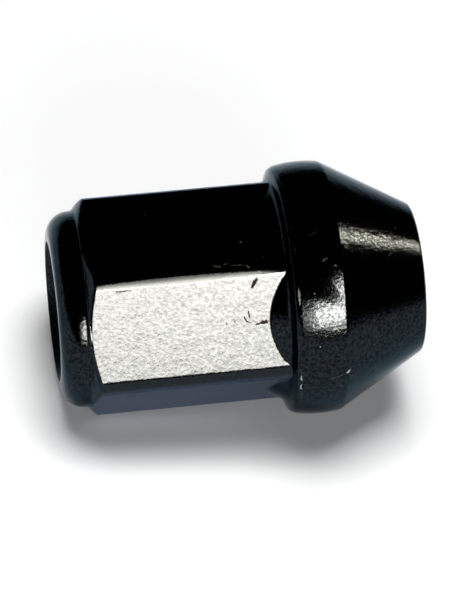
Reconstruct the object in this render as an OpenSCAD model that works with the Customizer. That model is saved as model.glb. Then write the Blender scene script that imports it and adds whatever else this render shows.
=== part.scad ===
// Lug nut with a flange and a conical seat, lying on its side as it rests on a table.
// Millimetres, +Z up. The nut's axis runs along +X, from the collar to the nose, and rises a little.

/* [Hexagon] */
// Width across the flats
across_flats = 19; // [18.8:0.1:19.6]
// Radius of each rounded corner of the hexagon
corner_r = 1.9; // [1:0.05:2.4]
// Length of the flats, from the collar to the foot of the flange
hex_len = 16.85; // [12:0.05:22]
// Slope of the chamfer at the hexagon's collar end, from the axis
chamfer_deg = 58; // [45:1:64]

/* [Collar] */
// Outside diameter of the round collar
collar_d = 18.6; // [17.8:0.1:18.7]
// Length of the collar, from its rim to the foot of the chamfer
collar_len = 2.55; // [2.5:0.05:5]
// Radius of the collar's rounded outer edge
collar_edge_r = 2.2; // [1:0.1:2.2]
// Radius of the fillet between the collar and the chamfer
collar_fillet_r = 0.4; // [0.2:0.05:0.45]

/* [Flange] */
// Largest diameter of the flange
flange_d = 24.14; // [23.5:0.02:26]
// Length of the flange's band, from its bevel to the seat
band_len = 4.25; // [3.4:0.05:5.5]
// Distance from the bevel to the widest place of the band
crown_at = 2.4; // [1.6:0.05:3]
// Radius of the band's crowned outline
crown_r = 11; // [9:0.5:11.5]
// Length of the bevel on the flange's back rim, along the axis
rim_bevel_len = 0.4; // [0.2:0.05:0.8]
// Height of the bevel on the flange's back rim
rim_bevel_h = 0.25; // [0.1:0.05:0.4]
// Length of the flange's back, from the end of the flats to the rim
back_len = 2.2; // [1.9:0.05:2.6]
// Slope of the cone at the foot of the flange, from the axis
foot_deg = 30; // [22:1:34]
// Slope of the flange's back above that cone, from the axis
back_deg = 68; // [60:1:76]
// Radius of the hollow fillet between the cone and the flange's back
back_fillet_r = 1; // [0.4:0.1:1.2]

/* [Seat] */
// Included angle of the conical seat
seat_deg = 60; // [56:1:62]
// Length of the seat along the axis, nose edge included
seat_len = 8.35; // [6.5:0.05:8.6]
// Radius of the rounded nose edge
nose_edge_r = 0.5; // [0.2:0.05:0.6]

/* [Thread] */
// Nominal diameter of the thread
thread_d = 12; // [11:0.1:12]
// Pitch of the thread
thread_pitch = 1.5; // [1:0.25:1.75]
// Diameter of the countersink's mouth in the collar
collar_mouth_d = 13.3; // [12.4:0.1:14]
// Diameter of the countersink's mouth in the nose
nose_mouth_d = 12.6; // [12.1:0.1:13]
// Slope of both countersinks, from the axis
mouth_deg = 30; // [25:1:50]

/* [Hidden] */
$fn = 96;
// How far a rounding's circle reaches past the faces that it joins, so that it crosses them
blend_over = 0.0005;
// How far the hole and the chamfer's cone run past the nut, so that they cut right through it
cut_over = 1;
// Difference of a metric thread's two diameters, in pitches
thread_form = 1.0825;
// Angle from one flat of the hexagon to the next
flat_deg = 60;

apothem = across_flats / 2;
collar_r = collar_d / 2;
flange_r = flange_d / 2;
// Radius of the plain hole, which is the thread's minor radius
bore_r = (thread_d - thread_form * thread_pitch) / 2;

// Places along the axis, counted from the collar's rim
foot_at = collar_len + hex_len;
rim_at = foot_at + back_len;
band_at = rim_at + rim_bevel_len;
crown_mid_at = band_at + crown_at;
seat_at = band_at + band_len;
total_len = seat_at + seat_len;

// Radii of the crowned band at its two edges, and of the rim behind the bevel
crown_mid_r = flange_r - crown_r;
band_r = crown_mid_r + sqrt(crown_r * crown_r - pow(crown_at, 2));
seat_r = crown_mid_r + sqrt(crown_r * crown_r - pow(band_len - crown_at, 2));
rim_r = band_r - rim_bevel_h;

// Seat cone and the rounded nose edge that touches it and the nose's face
seat_tan = tan(seat_deg / 2);
nose_sharp_r = seat_r - seat_len * seat_tan;
nose_mid_at = total_len - nose_edge_r;
nose_mid_r = nose_sharp_r + nose_edge_r * seat_tan - nose_edge_r / cos(seat_deg / 2);
nose_touch_at = nose_mid_at + nose_edge_r * sin(seat_deg / 2);
nose_touch_r = nose_mid_r + nose_edge_r * cos(seat_deg / 2);

// Bend where the cone at the foot of the flange meets the flange's back, and the fillet in it
foot_tan = tan(foot_deg);
back_tan = tan(back_deg);
bend_at = (rim_r - apothem + foot_at * foot_tan - rim_at * back_tan) / (foot_tan - back_tan);
bend_r = apothem + (bend_at - foot_at) * foot_tan;
bend_reach = back_fillet_r * tan((back_deg - foot_deg) / 2);
bend_low = [bend_r - bend_reach * sin(foot_deg), bend_at - bend_reach * cos(foot_deg)];
bend_high = [bend_r + bend_reach * sin(back_deg), bend_at + bend_reach * cos(back_deg)];
bend_mid = bend_low + back_fillet_r * [cos(foot_deg), -sin(foot_deg)];

// Fillet between the collar and the chamfer: how far its ends are from the corner
fillet_reach = collar_fillet_r * tan(chamfer_deg / 2);

// Rounded corners of the hexagon: radius to the middles of their arcs, and to a place outside them
corner_mid_r = (apothem - corner_r) / cos(flat_deg / 2);
corner_out_r = corner_mid_r + corner_r + cut_over;

// Rest on the table: the end of one flat and the crowned band touch it, so the axis rises by this angle
heel_at = collar_len + (apothem - collar_r) / tan(chamfer_deg);
rest_run = crown_mid_at - heel_at;
rest_rise = crown_mid_r - apothem;
rest_deg = asin(crown_r / norm([rest_run, rest_rise])) + atan2(rest_rise, rest_run);
rest_lift = apothem * cos(rest_deg) - heel_at * sin(rest_deg);
// Ends of the tilted nut along X, for the origin under the middle of its box
low_x = collar_edge_r * cos(rest_deg) - (collar_r - collar_edge_r) * sin(rest_deg) - collar_edge_r;
high_x = nose_mid_at * cos(rest_deg) + nose_mid_r * sin(rest_deg) + nose_edge_r;
rest_shift = -(low_x + high_x) / 2;

// Outline turned on the hexagon's bar: radius across, distance along the axis up
module bar_outline() {
    chamfer_len = (corner_out_r - collar_r) / tan(chamfer_deg);
    // collar, fillet, chamfer and the full bar behind it
    difference() {
        polygon([
            [0, 0],
            [collar_r - collar_edge_r, 0],
            [collar_r, collar_edge_r],
            [collar_r, collar_len - fillet_reach],
            [collar_r + fillet_reach * sin(chamfer_deg), collar_len + fillet_reach * cos(chamfer_deg)],
            [corner_out_r, collar_len + chamfer_len],
            [corner_out_r, rim_at],
            [0, rim_at]
        ]);
        translate([collar_r + collar_fillet_r, collar_len - fillet_reach])
            circle(r = collar_fillet_r + blend_over);
    }
    // rounded outer edge of the collar
    translate([collar_r - collar_edge_r, collar_edge_r])
        circle(r = collar_edge_r);
}

// Outline of the flange and the seat: radius across, distance along the axis up
module flange_outline() {
    // room left over the band and beside its edges, for the crown's circle to cut
    over = 0.3;
    intersection() {
        // foot, back and bevel of the flange, then the seat and the nose
        difference() {
            polygon([
                [0, foot_at],
                [apothem, foot_at],
                bend_low,
                bend_high,
                [rim_r, rim_at],
                [band_r + over * rim_bevel_h / rim_bevel_len, band_at + over],
                [flange_r + over, band_at + over],
                [flange_r + over, seat_at - over],
                [seat_r + over * seat_tan, seat_at - over],
                [nose_touch_r, nose_touch_at],
                [nose_mid_r, total_len],
                [0, total_len]
            ]);
            translate(bend_mid)
                circle(r = back_fillet_r + blend_over);
        }
        // crown of the band, which leaves the nose alone
        union() {
            translate([crown_mid_r, crown_mid_at])
                circle(r = crown_r);
            translate([0, seat_at + seat_len / 2])
                square([flange_r, seat_len]);
        }
    }
    // rounded edge of the nose
    translate([nose_mid_r, nose_mid_at])
        circle(r = nose_edge_r);
}

// Hexagon with rounded corners, flats facing +X and -X
module rounded_hexagon() {
    half_flat = (apothem - corner_r) * tan(flat_deg / 2);
    turns = [0:flat_deg:360 - flat_deg];
    polygon([
        for (turn = turns, side = [-half_flat, half_flat])
            [apothem * cos(turn) - side * sin(turn), apothem * sin(turn) + side * cos(turn)]
    ]);
    for (turn = turns)
        translate(corner_mid_r * [cos(turn + flat_deg / 2), sin(turn + flat_deg / 2)])
            circle(r = corner_r + blend_over);
}

// Hexagonal bar with the collar and the chamfer turned on its end
module turned_bar() {
    intersection() {
        linear_extrude(height = rim_at)
            rounded_hexagon();
        rotate_extrude()
            bar_outline();
    }
}

// Hole right through, with a countersink at each mouth
module threaded_hole() {
    collar_sink = (collar_mouth_d / 2 - bore_r) / tan(mouth_deg);
    nose_sink = (nose_mouth_d / 2 - bore_r) / tan(mouth_deg);
    rotate_extrude()
        polygon([
            [0, -cut_over],
            [collar_mouth_d / 2, -cut_over],
            [collar_mouth_d / 2, 0],
            [bore_r, collar_sink],
            [bore_r, total_len - nose_sink],
            [nose_mouth_d / 2, total_len],
            [nose_mouth_d / 2, total_len + cut_over],
            [0, total_len + cut_over]
        ]);
}

module lug_nut() {
    color([0.03, 0.03, 0.035])
        translate([rest_shift, 0, rest_lift])
            rotate([0, 90 - rest_deg, 0])
                difference() {
                    union() {
                        turned_bar();
                        rotate_extrude()
                            flange_outline();
                    }
                    threaded_hole();
                }
}

lug_nut();
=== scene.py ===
"""Black coated lug nut lying on a pale floor, dressed for looks over the exact solid of the frame."""
import math

import bpy
import numpy as np
from mathutils import Matrix, Vector


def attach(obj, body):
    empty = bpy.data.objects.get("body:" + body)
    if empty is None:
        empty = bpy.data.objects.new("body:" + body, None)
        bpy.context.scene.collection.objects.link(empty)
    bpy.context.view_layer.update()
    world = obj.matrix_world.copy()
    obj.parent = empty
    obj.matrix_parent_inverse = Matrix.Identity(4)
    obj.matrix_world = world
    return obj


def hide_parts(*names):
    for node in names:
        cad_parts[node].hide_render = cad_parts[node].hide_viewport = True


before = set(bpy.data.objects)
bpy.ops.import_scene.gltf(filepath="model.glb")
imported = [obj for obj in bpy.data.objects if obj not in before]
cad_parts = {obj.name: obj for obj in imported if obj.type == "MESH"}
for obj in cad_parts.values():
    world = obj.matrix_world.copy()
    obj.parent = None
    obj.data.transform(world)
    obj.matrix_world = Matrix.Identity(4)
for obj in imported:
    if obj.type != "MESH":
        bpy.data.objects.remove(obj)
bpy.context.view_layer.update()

# Sizes of the nut in millimetres, as in the part's source
APOTHEM = 9.5
CORNER_R = 1.9
CHAMFER = math.radians(58)
COLLAR_R = 9.3
COLLAR_LEN = 2.55
COLLAR_EDGE_R = 2.2
COLLAR_FILLET_R = 0.4
HEX_LEN = 16.85
BACK_LEN = 2.2
FOOT_SLOPE = math.radians(30)
BACK_SLOPE = math.radians(68)
BACK_FILLET_R = 1.0
RIM_BEVEL_LEN = 0.4
RIM_BEVEL_H = 0.25
FLANGE_R = 12.07
BAND_LEN = 4.25
CROWN_AT = 2.4
CROWN_R = 11.0
SEAT_SLOPE = math.radians(30)
SEAT_LEN = 8.35
NOSE_EDGE_R = 0.5
COLLAR_MOUTH_R = 6.65
NOSE_MOUTH_R = 6.3
MOUTH_SLOPE = math.radians(30)

# Thread: pitch, largest radius, difference of its two diameters in pitches,
# and slope of a flank from the radius
PITCH = 1.5
MAJOR_R = 6.0
THREAD_FORM = 1.0825
FLANK_SLOPE = math.radians(30)
MINOR_R = MAJOR_R - THREAD_FORM * PITCH / 2

# Places along the axis, from the collar's rim, and radii there
FOOT_AT = COLLAR_LEN + HEX_LEN
RIM_AT = FOOT_AT + BACK_LEN
BAND_AT = RIM_AT + RIM_BEVEL_LEN
CROWN_MID_AT = BAND_AT + CROWN_AT
SEAT_AT = BAND_AT + BAND_LEN
TOTAL = SEAT_AT + SEAT_LEN
CROWN_MID_R = FLANGE_R - CROWN_R
BAND_R = CROWN_MID_R + math.sqrt(CROWN_R ** 2 - CROWN_AT ** 2)
SEAT_R = CROWN_MID_R + math.sqrt(CROWN_R ** 2 - (BAND_LEN - CROWN_AT) ** 2)
RIM_R = BAND_R - RIM_BEVEL_H
SEAT_TAN = math.tan(SEAT_SLOPE)
NOSE_MID_AT = TOTAL - NOSE_EDGE_R
NOSE_MID_R = SEAT_R - SEAT_LEN * SEAT_TAN + NOSE_EDGE_R * (SEAT_TAN - 1 / math.cos(SEAT_SLOPE))
NOSE_TOUCH_AT = NOSE_MID_AT + NOSE_EDGE_R * math.sin(SEAT_SLOPE)

# Fillet between the collar and the chamfer
FILLET_REACH = COLLAR_FILLET_R * math.tan(CHAMFER / 2)
FILLET_AT = COLLAR_LEN - FILLET_REACH
FILLET_END_AT = COLLAR_LEN + FILLET_REACH * math.cos(CHAMFER)

# Hexagon: degrees from flat to flat, half of that in radians, radius to the middle of a corner's arc,
# and half of a flat's width
FLAT_DEG = 60
HALF_SIXTH = math.pi / 6
CORNER_MID_R = (APOTHEM - CORNER_R) / math.cos(HALF_SIXTH)
HALF_FLAT = (APOTHEM - CORNER_R) * math.tan(HALF_SIXTH)

# Bend between the cone at the flange's foot and the flange's back, with its hollow fillet
FOOT_TAN = math.tan(FOOT_SLOPE)
BACK_TAN = math.tan(BACK_SLOPE)
BEND_AT = (RIM_R - APOTHEM + FOOT_AT * FOOT_TAN - RIM_AT * BACK_TAN) / (FOOT_TAN - BACK_TAN)
BEND_R = APOTHEM + (BEND_AT - FOOT_AT) * FOOT_TAN
BEND_REACH = BACK_FILLET_R * math.tan((BACK_SLOPE - FOOT_SLOPE) / 2)
BEND_LOW_AT = BEND_AT - BEND_REACH * math.cos(FOOT_SLOPE)
BEND_HIGH_AT = BEND_AT + BEND_REACH * math.cos(BACK_SLOPE)
BEND_MID_AT = BEND_LOW_AT - BACK_FILLET_R * math.sin(FOOT_SLOPE)
BEND_MID_R = BEND_R - BEND_REACH * math.sin(FOOT_SLOPE) + BACK_FILLET_R * math.cos(FOOT_SLOPE)

# Rest on the floor: the end of one flat and the crowned band touch it
HEEL_AT = COLLAR_LEN + (APOTHEM - COLLAR_R) / math.tan(CHAMFER)
REACH = math.hypot(CROWN_MID_AT - HEEL_AT, CROWN_MID_R - APOTHEM)
TILT = math.asin(CROWN_R / REACH) + math.atan2(CROWN_MID_R - APOTHEM, CROWN_MID_AT - HEEL_AT)
LIFT = APOTHEM * math.cos(TILT) - HEEL_AT * math.sin(TILT)
LOW_X = COLLAR_EDGE_R * math.cos(TILT) - (COLLAR_R - COLLAR_EDGE_R) * math.sin(TILT) - COLLAR_EDGE_R
HIGH_X = NOSE_MID_AT * math.cos(TILT) + NOSE_MID_R * math.sin(TILT) + NOSE_EDGE_R
SHIFT = -(LOW_X + HIGH_X) / 2

# Columns of the body's mesh in a sixth of a turn: even steps up to this many degrees from a flat's middle,
# then close ones over the corner
EVEN_END_DEG = 23.5
EVEN_COLUMNS = 28
CORNER_COLUMNS = 46

# Places where the rings of the body's mesh change their spacing: past the chamfer, before the flange's
# foot, before the bend and past the hexagon's corners. Then the count of rings from each stop to the next.
CHAMFER_DONE_AT = 3.8
FLATS_DONE_AT = 19.2
BEND_NEAR_AT = BEND_LOW_AT - 0.1
TAIL_AT = 21.34
HEX_STOPS = (FILLET_AT, FILLET_END_AT, CHAMFER_DONE_AT, FLATS_DONE_AT, BEND_NEAR_AT, TAIL_AT)
HEX_RINGS = (10, 40, 8, 24, 30)
COLLAR_RINGS = 18

# How softly the chamfer and the flange's foot run into the hexagon, and where the foot starts to count
CHAMFER_SOFT = 0.35
FOOT_SOFT = 0.08
FOOT_FROM = 19.0

# Turned edges behind the hexagon: place, half length of the easing, strength and width of the wear
TURNED_EDGES = (
    (RIM_AT, 0.14, 0.5, 0.15),
    (BAND_AT, 0.16, 0.85, 0.15),
    (SEAT_AT, 0.22, 0.7, 0.2),
)
TURNED_RINGS = (4, 8, 3, 8, 14, 10, 8)
CROWN_POINTS = 160
LINE_STEP = 0.01
NOSE_RINGS = 9

# Wear of the other edges: strengths, and widths in millimetres
MOUTH_WEAR = 0.7
MOUTH_WEAR_WIDTH = 0.2
CORNER_WEAR = 0.75
CORNER_WEAR_WIDTH = 0.55
CHAMFER_WEAR = 0.9
CHAMFER_WEAR_WIDTH = 0.16
NOSE_EDGE_WEAR = 0.7
NOSE_FACE_WEAR = (0.5, 0.9)
CREST_WEAR = 0.45
# Radius that turns an angle at the hexagon's corners into millimetres
CORNER_ARC_R = 10.7
# Distances from the hexagon: within the first a point is on its side, and over the second a flat fades out
SIDE_NEAR = 0.15
FLAT_FADE = 0.06

# Thread's mesh: columns round it, rings in a pitch, the stretch where its crests show wear,
# and the share of the thread's height below which a point is on a crest
THREAD_COLUMNS = 120
PITCH_RINGS = 12
CRESTS_FROM = 2.5
CRESTS_TO = TOTAL - 1.9
CREST_RISE = 0.02


def to_world(local):
    """Millimetres along the nut (x along the axis, z up from it) to metres in the frame."""
    x = local[:, 0] * math.cos(TILT) - local[:, 2] * math.sin(TILT) + SHIFT
    z = local[:, 0] * math.sin(TILT) + local[:, 2] * math.cos(TILT) + LIFT
    return np.stack([x, local[:, 1], z], 1) / 1000.0


def soft_min(a, b, k):
    """Smaller of two values, blended where they differ by less than k."""
    h = np.clip(k - np.abs(a - b), 0, None) / k
    return np.minimum(a, b) - h * h * k / 4


def soft_max(a, b, k):
    """Larger of two values, blended where they differ by less than k."""
    return -soft_min(-a, -b, k)


def bump(x, width):
    """Bell curve that is one at nought."""
    return np.exp(-(x / width) ** 2)


def spaced(stops, counts):
    """Places from stop to stop, with a count of even steps between each two."""
    runs = [np.linspace(a, b, n, endpoint=False) for a, b, n in zip(stops, stops[1:], counts)]
    return np.concatenate(runs)


def from_flat(turn):
    """Angle from the middle of the nearest flat."""
    return np.abs((turn + HALF_SIXTH) % (2 * HALF_SIXTH) - HALF_SIXTH)


def hex_radius(turn):
    """Radius of the rounded hexagon."""
    away = from_flat(turn)
    off = HALF_SIXTH - away
    arc = np.sqrt(np.clip(CORNER_R ** 2 - (CORNER_MID_R * np.sin(off)) ** 2, 0, None))
    rounded = CORNER_MID_R * np.cos(off) + arc
    return np.where(away <= math.atan(HALF_FLAT / APOTHEM), APOTHEM / np.cos(away), rounded)


def chamfer_radius(u):
    """Radius of the collar, its fillet and the chamfer's cone."""
    if u < FILLET_AT:
        return COLLAR_R
    if u < FILLET_END_AT:
        return COLLAR_R + COLLAR_FILLET_R - math.sqrt(COLLAR_FILLET_R ** 2 - (u - FILLET_AT) ** 2)
    return COLLAR_R + (u - COLLAR_LEN) * math.tan(CHAMFER)


def back_radius(u):
    """Radius of the flange's back: the cone at its foot, the hollow fillet and the steep back."""
    if u < BEND_LOW_AT:
        return APOTHEM + (u - FOOT_AT) * FOOT_TAN
    if u < BEND_HIGH_AT:
        return BEND_MID_R - math.sqrt(BACK_FILLET_R ** 2 - (u - BEND_MID_AT) ** 2)
    return BEND_R + (u - BEND_AT) * BACK_TAN


def grid_faces(rows, columns):
    """Quads of a grid of rows round the axis."""
    r = np.arange(rows - 1)[:, None] * columns
    c = np.arange(columns)[None, :]
    n = (c + 1) % columns
    return np.stack([r + c, r + n, r + columns + n, r + columns + c], 2).reshape(-1, 4)


def ring_points(u, r, turn):
    """Points of rings round the axis; turn counts from the underside."""
    return np.stack([np.broadcast_to(u, r.shape), r * np.sin(turn), -r * np.cos(turn)], 2).reshape(-1, 3)


def make_piece(name, local, faces, edge, flat):
    """Smooth mesh that carries its place on the nut, its wear and how far it is a wrench flat."""
    mesh = bpy.data.meshes.new(name)
    mesh.from_pydata(to_world(local).tolist(), [], faces.tolist())
    place = mesh.attributes.new("nut_mm", "FLOAT_VECTOR", "POINT")
    place.data.foreach_set("vector", local.astype(np.float32).ravel())
    for key, values in (("edge", edge), ("flat", flat)):
        weight = mesh.attributes.new(key, "FLOAT", "POINT")
        weight.data.foreach_set("value", values.astype(np.float32).ravel())
    mesh.shade_smooth()
    mesh.update()
    piece = bpy.data.objects.new(name, mesh)
    bpy.context.scene.collection.objects.link(piece)
    return piece


def sector_angles():
    """Angles round the nut, close together at the rounded corners."""
    stops = (-EVEN_END_DEG, EVEN_END_DEG, FLAT_DEG - EVEN_END_DEG)
    one = spaced(stops, (EVEN_COLUMNS, CORNER_COLUMNS))
    return np.radians(np.concatenate([one + FLAT_DEG * k for k in range(6)]))


def collar_outline():
    """Rim and rounded edge of the collar, as places along the axis and radii."""
    rim_r = COLLAR_R - COLLAR_EDGE_R
    outline = [(0.0, COLLAR_MOUTH_R), (0.0, (COLLAR_MOUTH_R + rim_r) / 2)]
    for a in np.linspace(0, math.pi / 2, COLLAR_RINGS):
        outline.append((COLLAR_EDGE_R * (1 - math.cos(a)), COLLAR_R - COLLAR_EDGE_R * (1 - math.sin(a))))
    return outline


def sharp_line():
    """Outline from the flange's back over the band to the end of the seat, and the way along it."""
    u = np.linspace(BAND_AT, SEAT_AT, CROWN_POINTS)
    crown = np.stack([u, CROWN_MID_R + np.sqrt(CROWN_R ** 2 - (u - CROWN_MID_AT) ** 2)], 1)
    back = [[TAIL_AT, back_radius(TAIL_AT)], [RIM_AT, RIM_R]]
    seat_end = [NOSE_TOUCH_AT, SEAT_R - (NOSE_TOUCH_AT - SEAT_AT) * SEAT_TAN]
    line = np.concatenate([back, crown, [seat_end]])
    way = np.concatenate([[0], np.cumsum(np.linalg.norm(np.diff(line, axis=0), axis=1))])
    fine = np.arange(0, way[-1], LINE_STEP)
    return fine, np.stack([np.interp(fine, way, line[:, 0]), np.interp(fine, way, line[:, 1])], 1)


def turned_tail():
    """Outline from the flange's back to the nose's mouth with its edges eased, and the wear along it."""
    way, line = sharp_line()
    eased = line.copy()
    stops = [0]
    wear = []
    for at, half, strength, width in TURNED_EDGES:
        mid = way[np.argmin(np.abs(line[:, 0] - at))]
        for i in np.nonzero(np.abs(way - mid) < half)[0]:
            near = np.abs(way - way[i]) <= half - abs(way[i] - mid) + 1e-9
            eased[i] = line[near].mean(0)
        stops += [mid - half, mid + half]
        wear.append((mid, strength, width))
    want = spaced(stops + [way[-1]], TURNED_RINGS)
    band = np.stack([np.interp(want, way, eased[:, 0]), np.interp(want, way, eased[:, 1])], 1)
    worn = np.max([strength * bump(want - mid, width) for mid, strength, width in wear], axis=0)
    turn = np.linspace(math.pi / 2 - SEAT_SLOPE, 0, NOSE_RINGS)
    nose = np.stack([NOSE_MID_AT + NOSE_EDGE_R * np.cos(turn), NOSE_MID_R + NOSE_EDGE_R * np.sin(turn)], 1)
    face = np.array([[TOTAL, (NOSE_MID_R + NOSE_MOUTH_R) / 2], [TOTAL, NOSE_MOUTH_R]])
    worn = np.concatenate([worn, np.full(len(nose), NOSE_EDGE_WEAR), NOSE_FACE_WEAR])
    return np.concatenate([band, nose, face]), worn


def body_piece():
    """Whole outside of the nut as rings of points, from the collar's mouth to the nose's mouth."""
    turn = sector_angles()
    hexagon = hex_radius(turn)
    corner_mm = (HALF_SIXTH - from_flat(turn)) * CORNER_ARC_R
    even = np.ones_like(turn)
    # each ring: place along the axis, radii, wear and how far it is a wrench flat
    rings = []
    for u, r in collar_outline():
        worn = MOUTH_WEAR * bump(r - COLLAR_MOUTH_R, MOUTH_WEAR_WIDTH)
        rings.append((u, r * even, worn * even, 0 * even))
    # fillet, chamfer, hexagon and the foot of the flange
    for u in spaced(HEX_STOPS, HEX_RINGS):
        chamfer = chamfer_radius(u)
        r = np.maximum(soft_min(hexagon, chamfer, CHAMFER_SOFT), min(chamfer, APOTHEM))
        if u > FOOT_FROM:
            r = soft_max(r, back_radius(u), FOOT_SOFT)
        inward = np.abs(r - hexagon)
        worn = np.where(inward < SIDE_NEAR, CORNER_WEAR * bump(corner_mm, CORNER_WEAR_WIDTH), 0)
        worn = np.maximum(worn, CHAMFER_WEAR * bump(hexagon - chamfer, CHAMFER_WEAR_WIDTH))
        if u <= FILLET_END_AT:
            worn = 0 * even
        rings.append((u, r, worn, np.clip(1.5 - inward / FLAT_FADE, 0, 1)))
    for (u, r), worn in zip(*turned_tail()):
        rings.append((u, r * even, worn * even, 0 * even))
    u, r, edge, flat = (np.array(column) for column in zip(*rings))
    local = ring_points(u[:, None], r, turn)
    return make_piece("nut_body", local, grid_faces(len(rings), len(turn)), edge, flat)


def thread_piece():
    """Hole with its helical thread and the two countersinks."""
    turn = np.linspace(0, 2 * math.pi, THREAD_COLUMNS, endpoint=False)
    u = np.linspace(0, TOTAL, PITCH_RINGS * int(TOTAL / PITCH) + 1)[:, None]
    phase = (u / PITCH - turn / (2 * math.pi)) % 1.0
    off = PITCH * np.abs(phase - 0.5)
    flank = (MAJOR_R - MINOR_R) * math.tan(FLANK_SLOPE)
    # a crest is a quarter of a pitch wide
    rise = np.clip((off - PITCH / 8) / flank, 0, 1)
    r = MINOR_R + (MAJOR_R - MINOR_R) * rise
    r = np.maximum(r, COLLAR_MOUTH_R - u * math.tan(MOUTH_SLOPE))
    r = np.maximum(r, NOSE_MOUTH_R - (TOTAL - u) * math.tan(MOUTH_SLOPE))
    crest = (rise < CREST_RISE) & (u > CRESTS_FROM) & (u < CRESTS_TO)
    edge = np.where(crest, CREST_WEAR, 0.0)
    faces = grid_faces(r.shape[0], len(turn))[:, ::-1]
    return make_piece("stud_thread", ring_points(u, r, turn), faces, edge, np.zeros(r.shape))


class Nodes:
    """Short way to make and join shader nodes."""

    def __init__(self, tree):
        self.tree = tree
        tree.nodes.clear()

    def add(self, kind, inputs=None, **settings):
        """New node with its settings, and with its inputs set or joined."""
        node = self.tree.nodes.new(kind)
        for key, value in settings.items():
            setattr(node, key, value)
        for key, value in (inputs or {}).items():
            if isinstance(value, bpy.types.NodeSocket):
                self.tree.links.new(value, node.inputs[key])
            else:
                node.inputs[key].default_value = value
        return node

    def math(self, operation, a, b):
        """Sum, product or other operation on two values."""
        return self.add("ShaderNodeMath", {0: a, 1: b}, operation=operation).outputs[0]

    def noise(self, where, scale, detail, rough):
        """Noise from nought to one, with scale as its features to a millimetre."""
        inputs = {"Vector": where, "Scale": scale, "Detail": detail, "Roughness": rough}
        return self.add("ShaderNodeTexNoise", inputs).outputs["Fac"]

    def span(self, value, low, high, to_low=0.0, to_high=1.0):
        """Value moved from one span to another, and kept inside it."""
        inputs = {"Value": value, "From Min": low, "From Max": high, "To Min": to_low, "To Max": to_high}
        return self.add("ShaderNodeMapRange", inputs, clamp=True).outputs["Result"]

    def mix(self, amount, a, b):
        """Colour between two others."""
        inputs = {"Factor": amount, 6: a, 7: b}
        return self.add("ShaderNodeMix", inputs, data_type="RGBA").outputs[2]


# Coat's colours: darkest and lightest mottling on the flats and on the turned faces, the haze over both,
# and the tints at a glancing angle. These tints are painted light: the flats' bluish tint is a painted
# bluish reflection that keeps the lower flat's mirrored floor light and lavender, and the turned faces'
# dull tint is painted shade that darkens their mirrored floor.
FLAT_DARK = (0.0114, 0.0140, 0.0164, 1)
FLAT_LIGHT = (0.0228, 0.0278, 0.0316, 1)
# the turned faces' mottling runs darker than the flats': random tone, and painted shade that dims their
# mirrored floor
TURNED_DARK = (0.0036, 0.0048, 0.0060, 1)
TURNED_LIGHT = (0.0196, 0.0252, 0.0292, 1)
HAZE = (0.0134, 0.0164, 0.0194, 1)
HAZE_SHARE = 0.3
FLAT_GLANCE_PAINTED_BLUE = (0.70, 0.80, 1.0, 1)
TURNED_GLANCE_PAINTED_SHADE = (0.56, 0.62, 0.66, 1)

# Strength of the coat's relief on the turned faces and on the flats, and its height in metres
TURNED_RELIEF = 0.34
FLAT_RELIEF = 0.15
RELIEF_HEIGHT = 0.0001
# How much rougher a mark or a worn edge is than the coat
WORN_ROUGH = 0.3

# Colours of the marks: bare metal, polished and rubbed coat, scratches and deep chips
BARE = (0.30, 0.35, 0.35, 1)
POLISHED = (0.031, 0.038, 0.042, 1)
RUBBED = (0.072, 0.068, 0.048, 1)
SCUFF = (0.030, 0.036, 0.036, 1)
DEEP = (0.0020, 0.0014, 0.0014, 1)

# Marks of use: mm from the collar's rim, degrees round from the underside, half length, half width,
# slant in degrees from the axis, colour
MARKS = [
    (11.2, -146.8, 8.6, 0.36, 0, POLISHED),
    (17.4, -166.5, 0.14, 0.12, 0, BARE),
    (19.2, -155, 0.12, 0.10, 0, SCUFF),
    (18.65, -147, 0.22, 0.13, 20, SCUFF),
    (14.8, -152, 0.45, 0.15, 15, RUBBED),
    (15.6, -152.8, 0.30, 0.09, -25, RUBBED),
    (16.7, -151.6, 0.65, 0.07, 6, RUBBED),
    (17.6, -150.5, 0.30, 0.08, 40, RUBBED),
    (18.1, -142, 0.62, 0.18, 120, DEEP),
    (17.45, -125, 0.45, 0.08, 80, DEEP),
    (17.05, -123, 0.32, 0.09, 75, DEEP),
    (17.35, -121, 0.30, 0.08, 15, DEEP),
    (18.5, -119.5, 0.60, 0.10, -15, DEEP),
    (18.85, -120, 0.35, 0.22, 0, DEEP),
    (16.1, -121.5, 0.15, 0.06, 80, DEEP),
    (15.3, -121, 0.16, 0.06, 80, DEEP),
    (5.9, -144, 0.75, 0.06, 0, DEEP),
    (21.4, -35, 0.20, 0.15, 0, DEEP),
    (21.9, -166, 0.12, 0.08, 0, SCUFF),
    (22.0, -155, 0.24, 0.07, 80, SCUFF),
    (21.95, -133.5, 0.80, 0.08, 90, BARE),
    (21.9, -92, 0.30, 0.07, 90, BARE),
    (21.9, -86, 0.38, 0.06, 90, BARE),
    (23.8, -161, 0.63, 0.05, -20, SCUFF),
    (24.6, -148.5, 0.34, 0.04, -28, SCUFF),
    (25.5, -145.5, 0.12, 0.06, 0, SCUFF),
    (25.2, -92, 0.75, 0.05, -14, SCUFF),
    (25.45, -85.5, 0.42, 0.05, 15, SCUFF),
    (26.3, -94, 0.26, 0.11, -30, BARE),
]

# Arc of one degree round the nut in mm, near its outside
DEGREE_MM = 0.19


def unrolled(n, where):
    """Place on the nut's unrolled outside: mm along the axis, mm round from the underside."""
    part = n.add("ShaderNodeSeparateXYZ", {0: where}).outputs
    turn = n.math("ARCTAN2", part["Y"], n.math("MULTIPLY", part["Z"], -1.0))
    arc = n.math("MULTIPLY", turn, math.degrees(1) * DEGREE_MM)
    return n.add("ShaderNodeCombineXYZ", {"X": part["X"], "Y": arc}).outputs[0]


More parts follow.
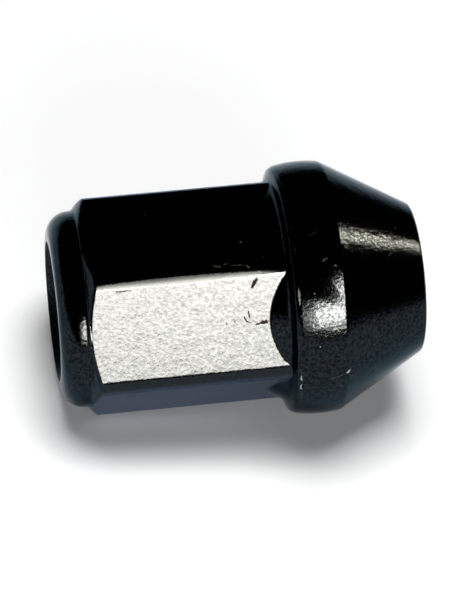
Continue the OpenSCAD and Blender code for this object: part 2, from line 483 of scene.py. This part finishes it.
def shaken(n, where, scale, amount):
    """Place moved a little by noise, for ragged outlines."""
    noise = n.add("ShaderNodeTexNoise", {"Vector": where, "Scale": scale, "Detail": 4.0}).outputs["Color"]
    shake = n.add("ShaderNodeVectorMath", {0: noise, 1: (0.5, 0.5, 0.5)}, operation="SUBTRACT").outputs[0]
    shake = n.add("ShaderNodeVectorMath", {0: shake, "Scale": amount}, operation="SCALE").outputs[0]
    return n.add("ShaderNodeVectorMath", {0: where, 1: shake}, operation="ADD").outputs[0]


def marked(n, where, colour, worn):
    """Coat's colour and wear with the marks of use on them."""
    spread = shaken(n, unrolled(n, where), scale=6.0, amount=0.36)
    for along, around, half_length, half_width, slant, mark_colour in MARKS:
        spot = {
            "Vector": spread,
            "Location": (along, around * DEGREE_MM, 0),
            "Rotation": (0, 0, math.radians(slant)),
            "Scale": (half_length, half_width, 1),
        }
        inside = n.add("ShaderNodeMapping", spot, vector_type="TEXTURE").outputs[0]
        far = n.add("ShaderNodeVectorMath", {0: inside}, operation="LENGTH").outputs["Value"]
        # one inside the mark, fading over its outline
        mark = n.span(far, 1.1, 0.8)
        colour = n.mix(mark, colour, mark_colour)
        worn = n.math("MAXIMUM", worn, mark)
    return colour, worn


def coat_material(name, gloss, dull):
    """Black coat like a dark mirror, with mottling, soft relief, worn edges, scratches and chips."""
    material = bpy.data.materials.new(name)
    material.use_nodes = True
    n = Nodes(material.node_tree)
    where = n.add("ShaderNodeAttribute", attribute_name="nut_mm").outputs["Vector"]
    edge = n.add("ShaderNodeAttribute", attribute_name="edge").outputs["Fac"]
    flat = n.add("ShaderNodeAttribute", attribute_name="flat").outputs["Fac"]
    mottle = n.noise(where, scale=3.2, detail=3.0, rough=0.6)
    grain = n.noise(where, scale=12.0, detail=2.0, rough=0.6)
    wave = n.noise(where, scale=0.9, detail=2.0, rough=0.5)
    cloud = n.noise(where, scale=0.35, detail=3.0, rough=0.5)
    chips = n.noise(where, scale=1.1, detail=5.0, rough=0.62)
    specks = n.noise(where, scale=3.3, detail=2.0, rough=0.5)
    # mottled coat, a little stronger on the flats than on the turned faces; the turned faces' darker end
    # is partly painted shade that dims what they mirror
    on_flat = n.mix(n.span(mottle, 0.28, 0.70), FLAT_DARK, FLAT_LIGHT)
    on_turned = n.mix(n.span(mottle, 0.37, 0.62), TURNED_DARK, TURNED_LIGHT)
    colour = n.mix(flat, on_turned, on_flat)
    colour = n.mix(n.math("MULTIPLY", cloud, HAZE_SHARE), colour, HAZE)
    # worn edges, stray specks and marks of use
    worn = n.span(n.math("MULTIPLY", n.math("POWER", edge, 0.6), chips), 0.56, 0.62)
    worn = n.math("MAXIMUM", worn, n.span(specks, 0.80, 0.82))
    colour = n.mix(worn, colour, BARE)
    colour, worn = marked(n, where, colour, worn)
    rough = n.span(grain, 0.3, 0.7, gloss, dull)
    rough = n.math("ADD", rough, n.math("MULTIPLY", worn, WORN_ROUGH))
    # relief: each layer with its share
    height = 0.0
    for layer, share in ((mottle, 0.6), (grain, 0.12), (wave, 0.8), (worn, -0.4)):
        height = n.math("ADD", height, n.math("MULTIPLY", layer, share))
    depth = n.span(flat, 0.0, 1.0, TURNED_RELIEF, FLAT_RELIEF)
    relief = n.add("ShaderNodeBump", {"Strength": depth, "Distance": RELIEF_HEIGHT, "Height": height})
    # glancing tints: painted bluish reflection on the flats, painted shade on the turned faces
    shader = n.add("ShaderNodeBsdfPrincipled", {
        "Base Color": colour,
        "Metallic": 1.0,
        "Roughness": rough,
        "Specular Tint": n.mix(flat, TURNED_GLANCE_PAINTED_SHADE, FLAT_GLANCE_PAINTED_BLUE),
        "Normal": relief.outputs["Normal"],
    })
    n.add("ShaderNodeOutputMaterial", {"Surface": shader.outputs[0]})
    return material


# Floor: half of its side in metres, and its colour
FLOOR_HALF = 1.5
FLOOR_COLOUR = (0.95, 0.95, 0.95, 1)


def floor_piece():
    """Plain pale floor under the nut."""
    mesh = bpy.data.meshes.new("floor")
    signs = ((-1, -1), (1, -1), (1, 1), (-1, 1))
    mesh.from_pydata([(x * FLOOR_HALF, y * FLOOR_HALF, 0) for x, y in signs], [], [(0, 1, 2, 3)])
    floor = bpy.data.objects.new("floor", mesh)
    bpy.context.scene.collection.objects.link(floor)
    material = bpy.data.materials.new("floor_white")
    material.use_nodes = True
    n = Nodes(material.node_tree)
    shader = n.add("ShaderNodeBsdfDiffuse", {"Color": FLOOR_COLOUR})
    n.add("ShaderNodeOutputMaterial", {"Surface": shader.outputs[0]})
    mesh.materials.append(material)


# Strength of the white light from all round
ROOM_LIGHT = 0.015
# Height of the place that the lamps face, about the nut's middle, in metres
AIM_HEIGHT = 0.011

# Lamps' colours
WARM = (1.0, 0.816, 0.669)
GOLD = (1.0, 0.787, 0.561)
COOL = (0.95, 0.975, 1.0)
WHITE = (1.0, 1.0, 1.0)

# Lamps that the coat mirrors, the window's panes and the streak on the seat: azimuth and elevation
# in degrees, distance, width and height in metres, watts, colour
MIRRORED_LAMPS = {
    "window": (-79, 22.5, 1.0, 0.57, 0.263, 35.4, WARM),
    "window_low": (-79, 12.5, 1.0, 0.57, 0.087, 7.4, WARM),
    "window_right": (-60, 39, 1.0, 0.17, 0.32, 12.0, WARM),
    "window_side": (-102, 18, 1.0, 0.19, 0.36, 2.7, WARM),
    "streak": (17.5, 32, 1.0, 0.028, 0.25, 3.6, GOLD),
}
# Lamps that light the floor alone, with their values in the same order
FLOOR_LAMPS = {
    "top": (127, 87, 0.7, 0.36, 0.36, 5.3, WHITE),
    "fill": (-84, 21, 0.5, 0.34, 0.22, 1.25, COOL),
}


def room():
    """Dim white light from all round."""
    world = bpy.data.worlds.new("room")
    bpy.context.scene.world = world
    world.use_nodes = True
    n = Nodes(world.node_tree)
    back = n.add("ShaderNodeBackground", {"Color": (1, 1, 1, 1), "Strength": ROOM_LIGHT})
    n.add("ShaderNodeOutputWorld", {"Surface": back.outputs[0]})


def area_lamp(name, azimuth, elevation, distance, width, height, power, colour):
    """Soft lamp that faces the nut from a direction, in degrees."""
    data = bpy.data.lights.new(name, "AREA")
    data.shape = "RECTANGLE"
    data.size = width
    data.size_y = height
    data.energy = power
    data.color = colour
    lamp = bpy.data.objects.new(name, data)
    bpy.context.scene.collection.objects.link(lamp)
    across = math.cos(math.radians(elevation))
    way = Vector((
        across * math.cos(math.radians(azimuth)),
        across * math.sin(math.radians(azimuth)),
        math.sin(math.radians(elevation)),
    ))
    lamp.location = Vector((0, 0, AIM_HEIGHT)) + way * distance
    lamp.rotation_mode = "QUATERNION"
    lamp.rotation_quaternion = way.to_track_quat("Z", "Y")
    return lamp


# The photograph's view, found by fitting the nut's outlines: focal length and height of the frame
# in pixels, height of the sensor and place of the eye in millimetres, and the camera's axes
FOCAL_PX = 3408.2
FRAME_PX = 614
SENSOR_MM = 36.0
EYE_MM = (-65.32, -217.85, 242.07)
FORWARD = (0.20217, 0.66935, -0.71491)
RIGHT = (0.97929, -0.1466, 0.13968)


def camera():
    """Camera with the photograph's view."""
    data = bpy.data.cameras.new("camera")
    data.sensor_fit = "VERTICAL"
    data.sensor_height = SENSOR_MM
    data.lens = FOCAL_PX / FRAME_PX * SENSOR_MM
    data.clip_start = 0.01
    data.clip_end = 20.0
    eye = Vector(EYE_MM) / 1000.0
    forward = Vector(FORWARD).normalized()
    right = Vector(RIGHT).normalized()
    up = right.cross(forward)
    turn = Matrix((right, up, -forward)).transposed().to_4x4()
    cam = bpy.data.objects.new("camera", data)
    bpy.context.scene.collection.objects.link(cam)
    cam.matrix_world = Matrix.Translation(eye) @ turn
    bpy.context.scene.camera = cam


camera()
body = body_piece()
body.data.materials.append(coat_material("black_coat", gloss=0.05, dull=0.12))
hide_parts("lug_nut")
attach(body, "root")
thread = thread_piece()
thread.data.materials.append(coat_material("black_coat_inside", gloss=0.3, dull=0.45))
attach(thread, "root")
floor_piece()
room()
for lamp_name, values in MIRRORED_LAMPS.items():
    area_lamp(lamp_name, *values).visible_diffuse = False
for lamp_name, values in FLOOR_LAMPS.items():
    area_lamp(lamp_name, *values).visible_glossy = False

bpy.context.scene.view_settings.view_transform = "Standard"
